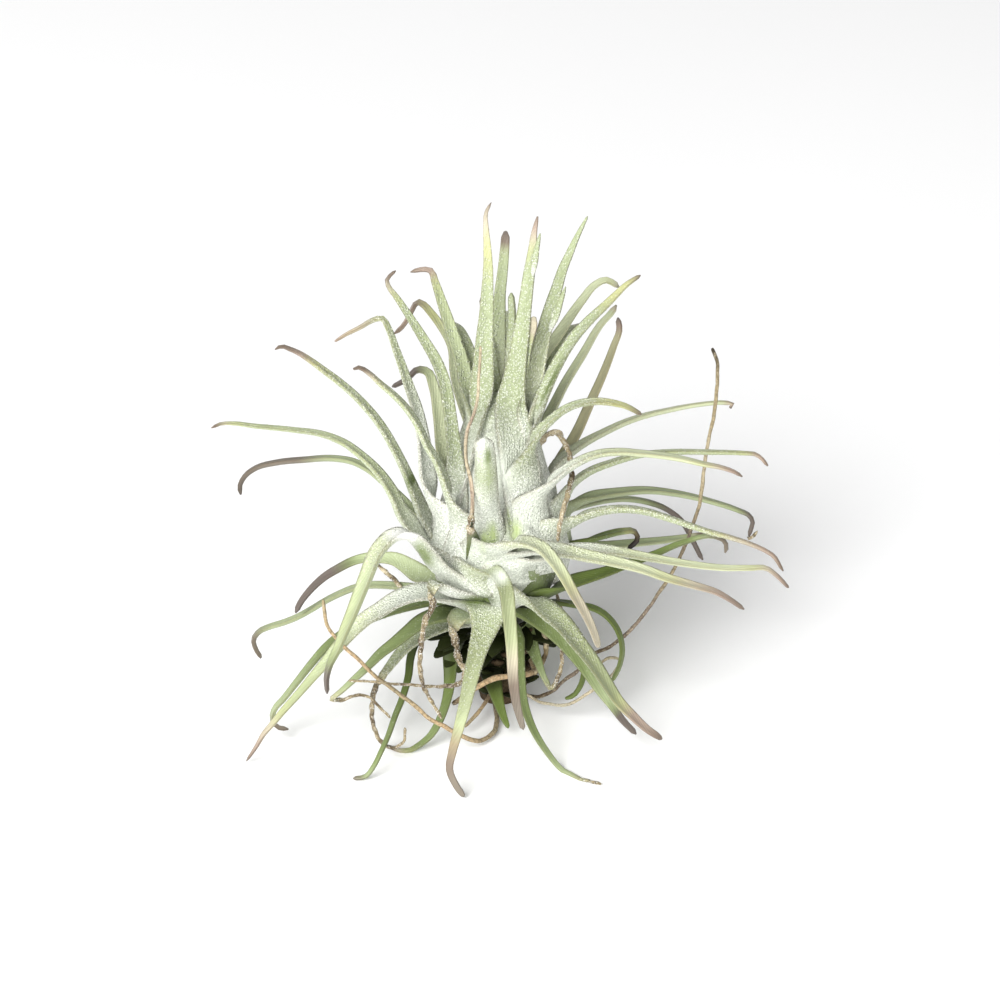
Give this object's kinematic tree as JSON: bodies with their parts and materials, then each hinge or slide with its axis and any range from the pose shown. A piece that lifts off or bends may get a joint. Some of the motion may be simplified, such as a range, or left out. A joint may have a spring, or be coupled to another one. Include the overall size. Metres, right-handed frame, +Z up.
{
  "type": "sky plant",
  "caption": "Small sky plant: a frosted rosette of narrow arching leaves with dry curled tips and wiry roots.",
  "frame": {"origin": "the middle of the stub's flat underside, on the surface that the plant stands on", "axes": "+Z up along the stub; the face that the picture shows looks along -Y, and +X is to its right"},
  "size_m": [0.0824, 0.0638, 0.074],
  "materials": {
    "frosted_white_green": "matt, under a white scaly coat",
    "pale_green": "matt, with fine silver scales",
    "olive_green": "matt, with few scales",
    "dry_tan": "dull and fibrous",
    "dry_brown": "rough and fibrous"
  },
  "bodies": {
    "root": {"crown": "frosted_white_green", "stem": "dry_brown", "leaf_left_high": "pale_green", "leaf_left_middle": "pale_green", "leaf_left_behind": "olive_green", "leaf_left_short": "pale_green", "leaf_left_hook": "olive_green", "leaf_left_bent": "pale_green", "leaf_right_behind": "olive_green", "leaf_toward_eye": "pale_green", "leaf_dry_thread": "pale_green", "leaf_right_short": "pale_green", "leaf_right_long": "pale_green", "leaf_right_channelled": "pale_green", "leaf_right_level": "pale_green", "leaf_right_elbow": "olive_green", "leaf_right_far": "olive_green", "leaf_right_tipped": "pale_green", "leaf_right_dark_hook": "olive_green", "leaf_right_back": "olive_green", "leaf_right_under": "pale_green", "leaf_right_front": "pale_green", "leaf_right_near": "pale_green", "leaf_front_right_droop": "pale_green", "leaf_front_centre_droop": "pale_green", "leaf_front_left_droop": "pale_green", "leaf_front_right_wide": "pale_green", "leaf_front_right_under": "olive_green", "leaf_front_thin": "pale_green", "leaf_front_pointed": "pale_green", "leaf_low_spike": "olive_green", "leaf_right_loop": "olive_green", "leaf_right_low": "olive_green", "leaf_left_front_arch": "pale_green", "leaf_left_purple": "olive_green", "leaf_left_curl": "olive_green", "leaf_left_low_wide": "pale_green", "leaf_left_low_behind": "pale_green", "leaf_left_low_torn": "pale_green", "leaf_left_low_twisted": "pale_green", "leaf_left_thin": "olive_green", "leaf_left_loop": "olive_green", "leaf_pale_dry_tail": "pale_green", "leaf_stub_dry_tail": "pale_green", "leaf_right_dry_strand": "dry_tan", "leaf_back_1": "pale_green", "leaf_back_2": "pale_green", "leaf_back_3": "pale_green", "leaf_back_4": "pale_green", "leaf_back_5": "pale_green", "leaf_back_6": "pale_green", "leaf_back_7": "pale_green", "leaf_back_8": "pale_green", "root_left_long": "dry_tan", "root_right_long": "dry_tan", "root_stub_thick": "dry_tan", "root_small": "dry_tan", "root_loop": "dry_tan"}
  },
  "joints": []
}
